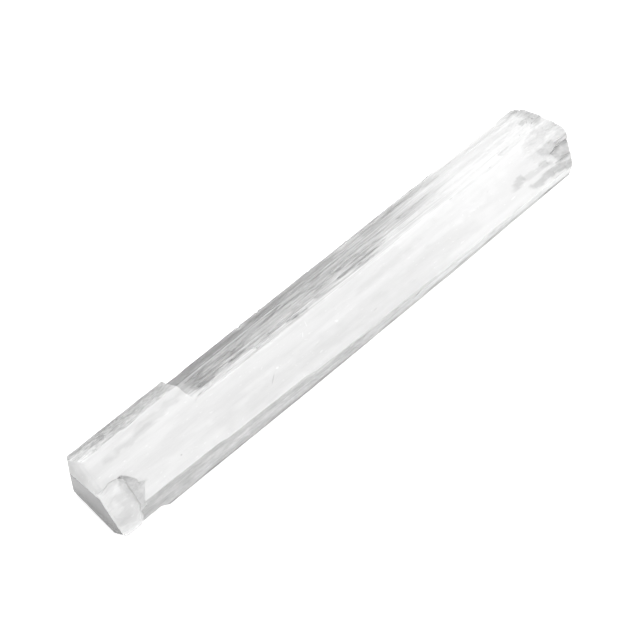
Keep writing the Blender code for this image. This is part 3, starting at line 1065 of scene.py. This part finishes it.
def mark(middle, half, turned):
    """1 at the middle of a small mark on the crystal and 0 outside it."""
    inside = nodes.add(
        "ShaderNodeMapping",
        {"vector_type": "TEXTURE"},
        {
            "Vector": place,
            "Location": middle,
            "Rotation": (0.0, 0.0, math.radians(turned)),
            "Scale": half,
        },
    )
    reach = nodes.add("ShaderNodeVectorMath", {"operation": "LENGTH"}, {0: inside}, "Value")
    return reach.between(*MARK_FADE)


lined = named("lined")
frosty = named("frosty")
lines = streaks(length=18.0, width=0.28, seed=1.0).between(0.36, 0.64) - 0.5
broad_lines = streaks(length=26.0, width=1.1, seed=2.0).between(0.36, 0.64) - 0.5
clouds = streaks(length=15.0, width=2.8, seed=3.0).between(0.30, 0.70) - 0.5
mottle = streaks(length=1.2, width=0.42, seed=6.0, detail=5.0).between(0.34, 0.66) - 0.5
blotches = streaks(length=5.0, width=1.6, seed=9.0, detail=2.0).between(0.38, 0.62) - 0.5
flecks = streaks(length=1.6, width=0.6, seed=12.0, detail=2.0).between(0.66, 0.72)
specks = streaks(length=0.8, width=0.4, seed=14.0, detail=2.0).between(0.70, 0.75)
crisp_lines = streaks(length=24.0, width=0.45, seed=8.0, detail=2.0).between(0.56, 0.66)
light_marks = sum(mark(*each) for each in LIGHT_MARKS)
dark_marks = sum(mark(*each) for each in DARK_MARKS)
print("patterns:", len(selenite.node_tree.nodes), "nodes")

# %% [markdown]
# ## The veil and the shade with their patterns
#
# The mesh gives the broad veil and shade, and the patterns break them up: lines and broad lines on
# the split faces, mottle and blotches where it is frosty, clouds and bright flecks everywhere. From
# the two sums come the colour of the milk, from grey to white and then darkened by the painted
# shade towards a deep grey, and the share of clear stone, which is small where it is milky and none
# where it is dark.

# %% Tone
CLEAR_GREY = 0.42
MILK_WHITE = 0.93
PAINTED_SHADE_GREY = 0.04
MOST_CLEAR = 0.72
CLEAR_LOST = 0.68
# How much each pattern adds to the veil.
LINES_ADD = 0.24
BROAD_LINES_ADD = 0.20
CLOUDS_ADD = 0.08
MOTTLE_ADD = 0.24
BLOTCHES_ADD = 0.18
LIGHT_MARKS_ADD = 0.12
FLECKS_ADD = 0.09
# How much each pattern adds to the shade.
CRISP_LINES_ADD = 0.20
DARK_MARKS_ADD = 0.30
SPECKS_ADD = 0.10

lines_in_veil = lined * (LINES_ADD * lines + BROAD_LINES_ADD * broad_lines)
frost_in_veil = frosty * (MOTTLE_ADD * mottle + BLOTCHES_ADD * blotches)
veil = named("veil") + lines_in_veil + CLOUDS_ADD * clouds
veil = veil + frost_in_veil + LIGHT_MARKS_ADD * light_marks
veil = nodes.add("ShaderNodeClamp", {}, {"Value": veil + FLECKS_ADD * flecks})
shade = named("shade") + CRISP_LINES_ADD * lined * crisp_lines
shade = shade + DARK_MARKS_ADD * dark_marks
shade = nodes.add("ShaderNodeClamp", {}, {"Value": shade + SPECKS_ADD * specks})
unshaded = 1 - shade
clear_share = (MOST_CLEAR - CLEAR_LOST * veil) * unshaded * unshaded
tone = nodes.add(
    "ShaderNodeMix",
    {"data_type": "RGBA"},
    {"Factor": veil, "A": grey(CLEAR_GREY), "B": grey(MILK_WHITE)},
    "Result",
)
# The shade darkens the milk's colour towards a deep grey: painted shade.
shaded_tone = nodes.add(
    "ShaderNodeMix",
    {"data_type": "RGBA"},
    {"Factor": shade, "A": tone, "B": grey(PAINTED_SHADE_GREY)},
    "Result",
)
print("greys from", PAINTED_SHADE_GREY, "to", MILK_WHITE)

# %% [markdown]
# ## Milky and clear selenite
#
# Two shaders stand for the two looks of gypsum: a clear one, with plain transmission, the
# refractive index of gypsum and a little absorption, and a milky one, which scatters light under
# its surface. One shader with half its transmission would look like thin milk all over, so a Mix
# Shader blends two. A bump carries the relief that is too fine for the mesh: hair lines along the
# grain, and crumbs where it is frosty.

# %% Finish
GYPSUM_IOR = 1.52
ABSORPTION = 22.0
HAZE_GREY = 0.80
MILK_SHARE = 0.5
MILK_DEPTH = 2.0 * MM
BUMP_STRENGTH = 0.6
BUMP_HEIGHT = 0.06 * MM
# The hair lines are this strong where a facet isn't lined.
FINE_EVERYWHERE = 0.06
CLEAR_ROUGHNESS = 0.12
MILKY_ROUGHNESS = 0.22
FROST_ROUGHENS = 0.30
CLOUDS_ROUGHEN = 0.10

fine = streaks(length=7.0, width=0.18, seed=4.0, detail=4.0)
crumb = streaks(length=0.9, width=0.35, seed=5.0, detail=4.0)
height = fine * (FINE_EVERYWHERE + lined) + crumb * frosty
bump = nodes.add(
    "ShaderNodeBump",
    {},
    {"Height": height, "Strength": BUMP_STRENGTH, "Distance": BUMP_HEIGHT},
)
rough = MILKY_ROUGHNESS + FROST_ROUGHENS * frosty + CLOUDS_ROUGHEN * clouds
milky = nodes.add(
    "ShaderNodeBsdfPrincipled",
    {"subsurface_method": "RANDOM_WALK"},
    {
        "Base Color": shaded_tone,
        "Roughness": rough,
        "Normal": bump,
        "IOR": GYPSUM_IOR,
        "Subsurface Weight": MILK_SHARE,
        "Subsurface Radius": (1.0, 1.0, 1.0),
        "Subsurface Scale": MILK_DEPTH,
    },
)
clear = nodes.add(
    "ShaderNodeBsdfPrincipled",
    {},
    {
        "Base Color": grey(1.0),
        "Roughness": CLEAR_ROUGHNESS,
        "Normal": bump,
        "IOR": GYPSUM_IOR,
        "Transmission Weight": 1.0,
    },
)
mixed = nodes.add("ShaderNodeMixShader", {}, {0: clear_share, 1: milky, 2: clear})
haze = nodes.add(
    "ShaderNodeVolumeAbsorption",
    {},
    {"Color": grey(HAZE_GREY), "Density": ABSORPTION},
)
nodes.add("ShaderNodeOutputMaterial", {}, {"Surface": mixed, "Volume": haze})
mesh.materials.append(selenite)
print("finish nodes:", len(selenite.node_tree.nodes))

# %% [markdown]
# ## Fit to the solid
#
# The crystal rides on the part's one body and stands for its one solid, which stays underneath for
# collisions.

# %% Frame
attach(crystal, "root")
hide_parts(NODE)
